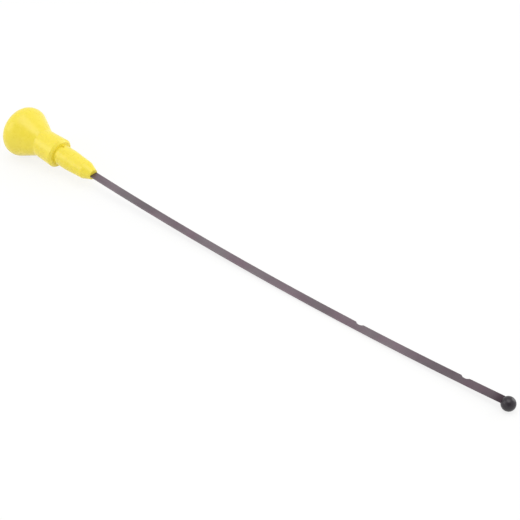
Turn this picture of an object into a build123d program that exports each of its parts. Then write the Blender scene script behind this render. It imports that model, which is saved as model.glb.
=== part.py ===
from build123d import *
from math import acos, atan2, cos, degrees, hypot, radians, sin, tan
import os

# Engine oil dipstick: a yellow knob moulded over one end of a bent steel gauge blade, and a black
# ball moulded over the other. It lies as it comes to rest, on the rim of its knob and on its ball,
# with the belly of its bend just off the floor. Millimetres, +Z up, ball at +X, origin under the
# middle of its bounding box.

# Handle, turned about its own axis. Stations run from the widest ring of the knob to the nose.
knob_radius = 14.0
rim_radius = 6.9  # rounding of the widest ring into the flat crown and the skirt
skirt_angle = 27.0  # half angle of the flared skirt
neck_radius = 7.75
collar_length = 14.3  # from the neck to the flat front face
collar_radius = 8.3  # behind its chamfered front edge
collar_chamfer = 1.2
plug_radius = 5.75  # the straight land that fits the mouth of the guide tube
plug_land_length = 8.0
plug_length = 24.8  # from the collar's front face to the nose
lead_length = 5.3  # steeper taper at the nose, which finds the tube
lead_radius = 4.9
nose_radius = 2.8
gate_radius = 1.0  # round recess on top of the plug, where the mould was filled
gate_depth = 0.6
gate_setback = 1.5  # from the collar's front face to its middle

# Blade: a flat strip with a set bend, keyed into the handle at its tang and into the ball at its tip
blade_width = 4.6
blade_thickness = 0.8
blade_edge_chamfer = 0.1
blade_reach = 259.1  # along the bend, from the handle's nose to the ball
bend_radius = 1665.0
tang_length = 20.0
tang_hole_radius = 1.0
tang_hole_setback = 12.0  # from the nose to the hole that locks the tang
tip_length = 1.3  # past the middle of the ball
tip_hole_radius = 0.7
moulding_gap = 0.05  # left round the strip as the plastic shrinks
notch_length = 4.4
notch_depth = 1.1
low_notch_setback = 23.7  # from the lower oil mark to the middle of the ball
notch_spacing = 59.1

# Ball, which leads the blade down the guide tube
ball_radius = 3.5
ball_drop = 0.9  # from the middle of the strip down to the centre of the ball

# Handle stations that follow from its sizes
rim_centre_radius = knob_radius - rim_radius
skirt_slope = radians(skirt_angle)
skirt_start = rim_radius * sin(skirt_slope)
skirt_start_radius = knob_radius - rim_radius * (1 - cos(skirt_slope))
neck_station = skirt_start + (skirt_start_radius - neck_radius) / tan(skirt_slope)
collar_station = neck_station + collar_length
nose_station = collar_station + plug_length

# Lean of the handle, in radians, at which the knob's rim and the ball both touch the floor
bend_angle = blade_reach / bend_radius
ball_orbit = bend_radius + ball_drop  # from the centre of the bend to the ball
ball_ahead = nose_station + ball_orbit * sin(bend_angle)
ball_aside = rim_centre_radius + bend_radius - ball_orbit * cos(bend_angle)
lean = acos((ball_radius - rim_radius) / hypot(ball_ahead, ball_aside)) - atan2(ball_ahead, ball_aside)

# Place along X, with as much of the dipstick ahead of the origin as behind it
bend_ahead_of_knob = nose_station * cos(lean) + bend_radius * sin(lean)
ball_ahead_of_knob = bend_ahead_of_knob + ball_orbit * sin(bend_angle - lean)
crown_behind_knob = rim_radius + rim_centre_radius * sin(lean)
knob_x = (crown_behind_knob - ball_ahead_of_knob - ball_radius) / 2
knob_z = rim_radius + rim_centre_radius * cos(lean)

handle_along = Vector(cos(lean), 0, -sin(lean))
handle_up = Vector(sin(lean), 0, cos(lean))
knob_centre = Vector(knob_x, 0, knob_z)
nose_centre = knob_centre + handle_along * nose_station
bend_centre = nose_centre + handle_up * bend_radius


def blade_plane(distance):
    """Plane of the strip's flat, at a distance along the bend from the handle's nose."""
    heading = distance / bend_radius - lean
    middle = bend_centre + Vector(sin(heading), 0, -cos(heading)) * bend_radius
    return Plane(middle, x_dir=(cos(heading), 0, sin(heading)), z_dir=(-sin(heading), 0, cos(heading)))


def socket_section():
    """Section of the strip with the moulding gap round it, drawn in the sketch at hand."""
    strip = Rectangle(blade_width, blade_thickness)
    chamfer(strip.vertices(), length=blade_edge_chamfer)
    offset(amount=moulding_gap, kind=Kind.INTERSECTION)


tang_hole_plane = Plane(
    nose_centre - handle_along * tang_hole_setback, x_dir=handle_along, z_dir=handle_up
)
tip_hole_plane = blade_plane(blade_reach)

# Handle: flat-topped knob, flared skirt, collar and tapered plug with a lead-in, turned in one profile
with BuildPart() as handle:
    # The profile stands at 45 degrees, which keeps the seam of the turned faces off the floor and the top
    with BuildSketch(Plane(knob_centre, x_dir=handle_along, z_dir=handle_up + Vector(0, 1, 0))):
        with BuildLine():
            rim = CenterArc(
                (0, rim_centre_radius), rim_radius, start_angle=90 - skirt_angle, arc_size=skirt_angle + 90
            )
            Polyline(
                rim @ 0,
                (neck_station, neck_radius),
                (collar_station - collar_chamfer, collar_radius),
                (collar_station, collar_radius - collar_chamfer),
                (collar_station, plug_radius),
                (collar_station + plug_land_length, plug_radius),
                (nose_station - lead_length, lead_radius),
                (nose_station, nose_radius),
                (nose_station, 0),
                (-rim_radius, 0),
                rim @ 1,
            )
        make_face()
    revolve(axis=Axis(knob_centre, handle_along))

    # Gate recess on top of the plug
    gate_top = knob_centre + handle_along * (collar_station + gate_setback) + handle_up * plug_radius
    with BuildSketch(Plane(gate_top, x_dir=handle_along, z_dir=handle_up)):
        Circle(gate_radius)
    extrude(amount=-gate_depth, mode=Mode.SUBTRACT)

    # Socket that the tang fills, with the plastic that runs through the tang's hole
    with BuildSketch(Plane(nose_centre, x_dir=(0, 1, 0), z_dir=handle_along)):
        socket_section()
    extrude(amount=-tang_length - moulding_gap, mode=Mode.SUBTRACT)
    with BuildSketch(tang_hole_plane):
        Circle(tang_hole_radius - moulding_gap)
    extrude(amount=blade_thickness, both=True)

# Blade: straight tang and bent strip cut from one side outline, then its holes and oil marks
with BuildPart() as blade:
    half_thickness = blade_thickness / 2
    strip_turn = degrees(bend_angle + tip_length / bend_radius)
    with BuildSketch(Plane(nose_centre, x_dir=handle_along, z_dir=(0, -1, 0))):
        with BuildLine():
            sole = JernArc((0, -half_thickness), (1, 0), bend_radius + half_thickness, strip_turn)
            face = JernArc((0, half_thickness), (1, 0), bend_radius - half_thickness, strip_turn)
            Line(sole @ 1, face @ 1)
            Polyline(sole @ 0, (-tang_length, -half_thickness), (-tang_length, half_thickness), face @ 0)
        make_face()
    extrude(amount=blade_width / 2, both=True)
    side_edges = blade.faces().filter_by(Axis.Y).edges()
    chamfer(side_edges.filter_by(lambda edge: edge.length > blade_width), length=blade_edge_chamfer)

    for hole_plane, hole_radius in ((tang_hole_plane, tang_hole_radius), (tip_hole_plane, tip_hole_radius)):
        with BuildSketch(hole_plane):
            Circle(hole_radius)
        extrude(amount=blade_thickness, both=True, mode=Mode.SUBTRACT)

    # Oil marks: a low and a high scallop in the left edge
    notch_radius = (notch_length**2 / 4 + notch_depth**2) / (2 * notch_depth)
    low_notch = blade_reach - low_notch_setback
    for distance in (low_notch - notch_spacing, low_notch):
        with BuildSketch(blade_plane(distance)):
            with Locations((0, blade_width / 2 - notch_depth + notch_radius)):
                Circle(notch_radius)
        extrude(amount=blade_thickness, both=True, mode=Mode.SUBTRACT)

# Ball: sphere with a pocket that the tip fills, and the plastic that runs through the tip's hole
with BuildPart() as ball_tip:
    with Locations(tip_hole_plane.offset(-ball_drop)):
        Sphere(ball_radius)
    pocket_end = tip_hole_plane.origin + tip_hole_plane.x_dir * (tip_length + moulding_gap)
    with BuildSketch(Plane(pocket_end, x_dir=(0, 1, 0), z_dir=tip_hole_plane.x_dir)):
        socket_section()
    extrude(amount=-2 * ball_radius, mode=Mode.SUBTRACT)
    with BuildSketch(tip_hole_plane):
        Circle(tip_hole_radius - moulding_gap)
    extrude(amount=blade_thickness, both=True)

handle.part.label = "handle"
blade.part.label = "blade"
ball_tip.part.label = "ball_tip"

os.makedirs("parts", exist_ok=True)
export_step(handle.part, "parts/handle.step")
export_step(blade.part, "parts/blade.step")
export_step(ball_tip.part, "parts/ball_tip.step")
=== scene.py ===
import bpy
from math import cos, pi, radians, sin
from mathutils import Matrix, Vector


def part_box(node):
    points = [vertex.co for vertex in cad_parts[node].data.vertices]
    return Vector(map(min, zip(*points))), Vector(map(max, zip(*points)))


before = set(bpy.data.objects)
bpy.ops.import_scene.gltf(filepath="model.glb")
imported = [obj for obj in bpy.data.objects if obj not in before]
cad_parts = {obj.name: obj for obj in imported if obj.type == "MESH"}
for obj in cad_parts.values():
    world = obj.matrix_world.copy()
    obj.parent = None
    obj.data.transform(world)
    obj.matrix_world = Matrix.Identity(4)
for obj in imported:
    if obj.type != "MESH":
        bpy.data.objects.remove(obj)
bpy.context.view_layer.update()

# Blade: a flat gauge strip with a set bend and two scallop notches that mark the oil levels.
# It is stamped from spring steel strip and tempered to a plum brown, and the handle and the ball
# are moulded over its ends.


def linear(hex_colour):
    """Linear RGBA of an sRGB hex colour."""
    channels = [int(hex_colour[i : i + 2], 16) / 255 for i in (1, 3, 5)]
    return [c / 12.92 if c <= 0.04045 else ((c + 0.055) / 1.055) ** 2.4 for c in channels] + [1.0]


def new_material(name):
    """A material with no nodes yet, and its node tree."""
    material = bpy.data.materials.new(name)
    material.use_nodes = True
    material.node_tree.nodes.clear()
    return material, material.node_tree


def add_node(tree, kind, inputs=None, **settings):
    """Adds a node with its settings. An input is a value, or the output that is linked to it."""
    node = tree.nodes.new(kind)
    for name, value in settings.items():
        setattr(node, name, value)
    for name, value in (inputs or {}).items():
        if isinstance(value, bpy.types.NodeSocket):
            tree.links.new(value, node.inputs[name])
        else:
            node.inputs[name].default_value = value
    return node


MM = 0.001
NOISE_LOW, NOISE_HIGH = 0.3, 0.7  # nearly all of a noise lies between these
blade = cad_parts["blade"]

# Tempered spring steel: a plum-brown oxide, mottled in depth and greyer in places, over metal that keeps
# the fine lines of its rolling, so that the light of the studio spreads softly along the strip. The end
# that stands in the oil is stained darker, and the last few millimetres beside the ball are darkened
# further with painted shade.
steel, tree = new_material("tempered spring steel")
place = add_node(tree, "ShaderNodeTexCoord").outputs["Object"]

# Depth of the oxide. A draw picks one of many such patterns.
thin_oxide, deep_oxide = "#887b82", "#6f646a"
oxide_size, oxide_draw = 60 * MM, 9.0
oxide = add_node(
    tree,
    "ShaderNodeTexNoise",
    {"Vector": place, "W": oxide_draw, "Scale": 1 / oxide_size, "Detail": 6.0, "Roughness": 0.58},
    noise_dimensions="4D",
)
depth = add_node(
    tree, "ShaderNodeMapRange", {"Value": oxide.outputs["Fac"], "From Min": 0.4, "From Max": 0.6}
)
metal = add_node(
    tree,
    "ShaderNodeMix",
    {"Factor": depth.outputs["Result"], "A": linear(thin_oxide), "B": linear(deep_oxide)},
    data_type="RGBA",
).outputs["Result"]

# Tint of the oxide, as a factor on its saturation
grey_tint, plum_tint = 0.5, 1.45
tint_size, tint_draw = 12 * MM, 11.0
tint = add_node(
    tree,
    "ShaderNodeTexNoise",
    {"Vector": place, "W": tint_draw, "Scale": 1 / tint_size, "Detail": 4.0, "Roughness": 0.6},
    noise_dimensions="4D",
)
saturation = add_node(
    tree,
    "ShaderNodeMapRange",
    {
        "Value": tint.outputs["Fac"],
        "From Min": NOISE_LOW,
        "From Max": NOISE_HIGH,
        "To Min": grey_tint,
        "To Max": plum_tint,
    },
)
metal = add_node(
    tree, "ShaderNodeHueSaturation", {"Color": metal, "Saturation": saturation.outputs["Result"]}
).outputs["Color"]

# An oil stain, and painted shade beside the ball: the colour of each, and how far back from the ball it
# starts and is full
oil_stain_and_painted_shade = (("#e3e1e2", 50 * MM, 34 * MM), ("#b9adb5", 6 * MM, 0.0))
ball_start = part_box("ball_tip")[0][0]
along = add_node(tree, "ShaderNodeSeparateXYZ", {"Vector": place}).outputs["X"]
# The first darkening is the oil stain; the second, in the last 6 mm up to the ball, is painted shade
for darkening, start, full in oil_stain_and_painted_shade:
    darkened = add_node(
        tree,
        "ShaderNodeMapRange",
        {"Value": along, "From Min": ball_start - start, "From Max": ball_start - full},
        interpolation_type="SMOOTHSTEP",
    )
    metal = add_node(
        tree,
        "ShaderNodeMix",
        {"Factor": darkened.outputs["Result"], "A": metal, "B": linear(darkening)},
        data_type="RGBA",
        blend_type="MULTIPLY",
    ).outputs["Result"]

# Rolling lines, drawn coarser than real ones so that they show in a close view
line_length, line_width, line_depth = 26 * MM, 0.12 * MM, 0.01 * MM
steel_smooth, steel_rough = 0.38, 0.48
along_strip = add_node(
    tree,
    "ShaderNodeMapping",
    {"Vector": place, "Scale": (1 / line_length, 1 / line_width, 1 / line_width)},
)
rolling = add_node(
    tree, "ShaderNodeTexNoise", {"Vector": along_strip.outputs["Vector"], "Scale": 1.0, "Detail": 3.0}
)
polish = add_node(
    tree,
    "ShaderNodeMapRange",
    {
        "Value": rolling.outputs["Fac"],
        "From Min": NOISE_LOW,
        "From Max": NOISE_HIGH,
        "To Min": steel_smooth,
        "To Max": steel_rough,
    },
)
relief = add_node(
    tree, "ShaderNodeBump", {"Height": rolling.outputs["Fac"], "Strength": 0.1, "Distance": line_depth}
)
steel_surface = add_node(
    tree,
    "ShaderNodeBsdfPrincipled",
    {
        "Base Color": metal,
        "Metallic": 1.0,
        "Roughness": polish.outputs["Result"],
        "Normal": relief.outputs["Normal"],
    },
)
add_node(tree, "ShaderNodeOutputMaterial", {"Surface": steel_surface.outputs["BSDF"]})
blade.data.materials[0] = steel

# Ball tip: a ball that leads the blade down the guide tube. It is one moulding in black nylon, shot
# round the end of the blade and locked through its hole.
ball_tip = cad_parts["ball_tip"]

# Moulded nylon, black through: nearly no light of its own, under a satin gloss in which the white
# tent shows as a pale rim and the open front of the tent as a dark middle.
nylon, tree = new_material("moulded nylon")
nylon_black = "#180d19"
nylon_smooth, nylon_rough = 0.3, 0.38
grain_size, grain_depth = 0.5 * MM, 0.01 * MM
place = add_node(tree, "ShaderNodeTexCoord").outputs["Object"]
grain = add_node(tree, "ShaderNodeTexNoise", {"Vector": place, "Scale": 1 / grain_size, "Detail": 2.0})
gloss = add_node(
    tree,
    "ShaderNodeMapRange",
    {
        "Value": grain.outputs["Fac"],
        "From Min": NOISE_LOW,
        "From Max": NOISE_HIGH,
        "To Min": nylon_smooth,
        "To Max": nylon_rough,
    },
)
relief = add_node(
    tree, "ShaderNodeBump", {"Height": grain.outputs["Fac"], "Strength": 0.1, "Distance": grain_depth}
)
nylon_surface = add_node(
    tree,
    "ShaderNodeBsdfPrincipled",
    {
        "Base Color": linear(nylon_black),
        "Roughness": gloss.outputs["Result"],
        "Normal": relief.outputs["Normal"],
        "IOR": 1.55,
    },
)
add_node(tree, "ShaderNodeOutputMaterial", {"Surface": nylon_surface.outputs["BSDF"]})
ball_tip.data.materials[0] = nylon

# Handle: a flat-topped knob that flares from a neck, with a collar that stops on the rim of the guide
# tube and a tapered plug that closes its mouth. It is one moulding in yellow polypropylene, shot round
# the blade's tang and locked through its hole.
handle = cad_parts["handle"]

# Moulded polypropylene, pigmented through: a warm yellow that light enters a little, under a satin
# gloss that waves slightly, because thick plastic shrinks as it sets.
polypropylene, tree = new_material("moulded polypropylene")
deep_yellow, pale_yellow = "#e8d53d", "#ebd845"
yellow_smooth, yellow_rough = 0.24, 0.32
cloud_size = 9 * MM
ripple_size, ripple_depth = 3 * MM, 0.05 * MM
light_reach = 1.5 * MM
place = add_node(tree, "ShaderNodeTexCoord").outputs["Object"]
cloud = add_node(tree, "ShaderNodeTexNoise", {"Vector": place, "Scale": 1 / cloud_size, "Detail": 3.0})
pigment = add_node(
    tree,
    "ShaderNodeMix",
    {"Factor": cloud.outputs["Fac"], "A": linear(deep_yellow), "B": linear(pale_yellow)},
    data_type="RGBA",
)
ripple = add_node(tree, "ShaderNodeTexNoise", {"Vector": place, "Scale": 1 / ripple_size, "Detail": 2.0})
relief = add_node(
    tree, "ShaderNodeBump", {"Height": ripple.outputs["Fac"], "Strength": 0.15, "Distance": ripple_depth}
)
gloss = add_node(
    tree,
    "ShaderNodeMapRange",
    {
        "Value": ripple.outputs["Fac"],
        "From Min": NOISE_LOW,
        "From Max": NOISE_HIGH,
        "To Min": yellow_smooth,
        "To Max": yellow_rough,
    },
)
polypropylene_surface = add_node(
    tree,
    "ShaderNodeBsdfPrincipled",
    {
        "Base Color": pigment.outputs["Result"],
        "Roughness": gloss.outputs["Result"],
        "Normal": relief.outputs["Normal"],
        "IOR": 1.5,
        "Subsurface Weight": 0.12,
        "Subsurface Radius": (1.0, 0.75, 0.12),
        "Subsurface Scale": light_reach,
    },
)
add_node(tree, "ShaderNodeOutputMaterial", {"Surface": polypropylene_surface.outputs["BSDF"]})
handle.data.materials[0] = polypropylene

# Table: a sheet of white card that runs out past the view. It is seen mostly as plain white, and the
# rest of it holds the soft shadow.
table_size = 6.0
bpy.ops.mesh.primitive_plane_add(size=table_size)
table = bpy.context.object
table.name = "table"
card, tree = new_material("white card")
card_white, white_share = "#f2f2f0", 0.8
matt = add_node(tree, "ShaderNodeBsdfDiffuse", {"Color": linear(card_white)})
white = add_node(tree, "ShaderNodeEmission", {"Strength": 1.0})
ray = add_node(tree, "ShaderNodeLightPath")
direct = add_node(
    tree,
    "ShaderNodeMath",
    {0: ray.outputs["Is Camera Ray"], 1: ray.outputs["Is Glossy Ray"]},
    operation="MAXIMUM",
)
seen = add_node(
    tree,
    "ShaderNodeMath",
    {0: direct.outputs["Value"], 1: ray.outputs["Is Transmission Ray"]},
    operation="MAXIMUM",
)
seen_white = add_node(
    tree, "ShaderNodeMath", {0: seen.outputs["Value"], 1: white_share}, operation="MULTIPLY"
)
card_surface = add_node(
    tree,
    "ShaderNodeMixShader",
    {"Fac": seen_white.outputs["Value"], 1: matt.outputs["BSDF"], 2: white.outputs["Emission"]},
)
add_node(tree, "ShaderNodeOutputMaterial", {"Surface": card_surface.outputs["Shader"]})
table.data.materials.append(card)

# Studio: a white tent, dimmer where it is open for the camera, with a softbox overhead, one high on the
# right, one in front of the knob and one low at the back.


def bearing(azimuth, elevation):
    """Unit vector out from the object. Azimuth 0 is towards -Y and 90 towards +X, in degrees."""
    level = cos(radians(elevation))
    return Vector(
        (sin(radians(azimuth)) * level, -cos(radians(azimuth)) * level, sin(radians(elevation)))
    )


towards_camera = bearing(azimuth=40.198, elevation=38.619)
tent_light, opening_light = 0.92, 0.45
opening_edge, opening_middle = 0.7, 0.95  # cosines of the angle from the camera's direction
tent = bpy.data.worlds.new("white tent")
bpy.context.scene.world = tent
tent.use_nodes = True
tree = tent.node_tree
tree.nodes.clear()
direction = add_node(tree, "ShaderNodeTexCoord").outputs["Generated"]
facing = add_node(
    tree, "ShaderNodeVectorMath", {0: direction, 1: towards_camera}, operation="DOT_PRODUCT"
)
opening = add_node(
    tree,
    "ShaderNodeMapRange",
    {
        "Value": facing.outputs["Value"],
        "From Min": opening_edge,
        "From Max": opening_middle,
        "To Min": tent_light,
        "To Max": opening_light,
    },
    interpolation_type="SMOOTHSTEP",
)
cloth = add_node(
    tree, "ShaderNodeBackground", {"Color": linear("#ffffff"), "Strength": opening.outputs["Result"]}
)
backdrop = add_node(tree, "ShaderNodeBackground", {"Color": linear("#ffffff"), "Strength": 1.0})
ray = add_node(tree, "ShaderNodeLightPath")
sky = add_node(
    tree,
    "ShaderNodeMixShader",
    {
        "Fac": ray.outputs["Is Camera Ray"],
        1: cloth.outputs["Background"],
        2: backdrop.outputs["Background"],
    },
)
add_node(tree, "ShaderNodeOutputWorld", {"Surface": sky.outputs["Shader"]})

# Azimuths and elevations are in degrees, and sizes in metres
softbox_distance = 0.9
for name, azimuth, elevation, size, radiance in (
    ("top_softbox", 0, 85, 0.7, 1.35),
    ("right_softbox", 70, 68, 0.4, 1.25),
    ("front_softbox", -42, 26, 0.5, 1.35),
    ("back_softbox", 156, 18, 0.5, 2.3),
):
    lamp = bpy.data.lights.new(name, "AREA")
    lamp.shape = "SQUARE"
    lamp.size = size
    lamp.energy = radiance * pi * size**2
    softbox = bpy.data.objects.new(name, lamp)
    outwards = bearing(azimuth, elevation)
    softbox.location = outwards * softbox_distance
    softbox.rotation_euler = outwards.to_track_quat("Z", "Y").to_euler()
    bpy.context.scene.collection.objects.link(softbox)

# Camera: looks down on the dipstick from the front right, nearer to its ball than to its knob, so that
# the blade widens towards the ball.
camera_distance = 653.42 * MM
camera_target = Vector((15.337, 0, 10.646)) * MM
camera_view = radians(22)
camera_data = bpy.data.cameras.new("camera")
camera_data.angle = camera_view
camera = bpy.data.objects.new("camera", camera_data)
camera.location = camera_target + towards_camera * camera_distance
camera.rotation_euler = towards_camera.to_track_quat("Z", "Y").to_euler()
bpy.context.scene.collection.objects.link(camera)
bpy.context.scene.camera = camera
bpy.context.scene.view_settings.view_transform = "Standard"
